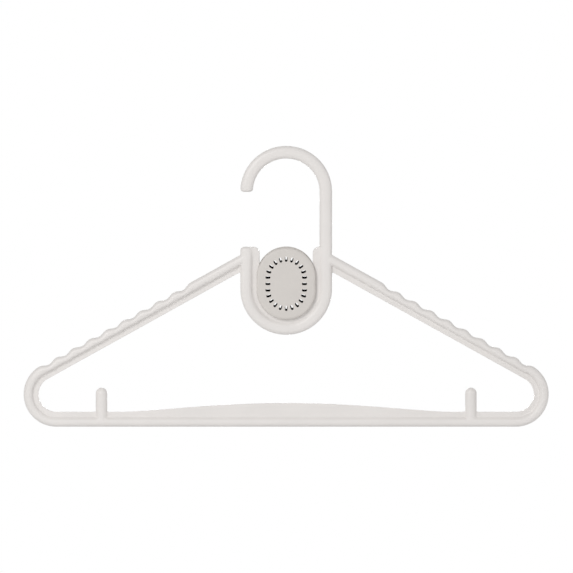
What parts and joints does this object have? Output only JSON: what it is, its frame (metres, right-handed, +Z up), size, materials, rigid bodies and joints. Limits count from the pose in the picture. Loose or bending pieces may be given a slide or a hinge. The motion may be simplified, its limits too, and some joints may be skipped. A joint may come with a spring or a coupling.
{
  "type": "aromatherapy clothes hanger",
  "caption": "Moulded clothes hanger with a round hook rod bent into a U cradle that holds an oval vented scent capsule, with wavy arms, an arched bar and strap pegs.",
  "frame": {"origin": "lowest point of the inside of the hook's crown, in the hanger's middle plane, where a rail bears", "axes": "+X along the bar, from the hook's open side to its stem; +Y through the thickness, from the front to the back; +Z up"},
  "size_m": [0.4198, 0.015, 0.2254],
  "materials": {
    "frame_plastic": "satin moulded polypropylene, warm off-white",
    "capsule_plastic": "fine matt moulded plastic, warm grey",
    "tablet": "dry porous scented plaster, cream"
  },
  "bodies": {
    "hanger": {"hanger_frame": "frame_plastic"},
    "capsule": {"capsule_rear_cover": "capsule_plastic"},
    "tablet": {"fragrance_tablet": "tablet"},
    "front_cover": {"capsule_front_cover": "capsule_plastic"}
  },
  "joints": [
    {"name": "capsule_lift", "type": "slide", "parent": "hanger", "child": "capsule", "axis": [0, 0, 1], "range_m": [0, 0.06]},
    {"name": "tablet_draw", "type": "slide", "parent": "capsule", "child": "tablet", "axis": [0, -1, 0], "range_m": [0, 0.012]},
    {"name": "cover_pull", "type": "slide", "parent": "tablet", "child": "front_cover", "axis": [0, -1, 0], "range_m": [0, 0.01]}
  ]
}
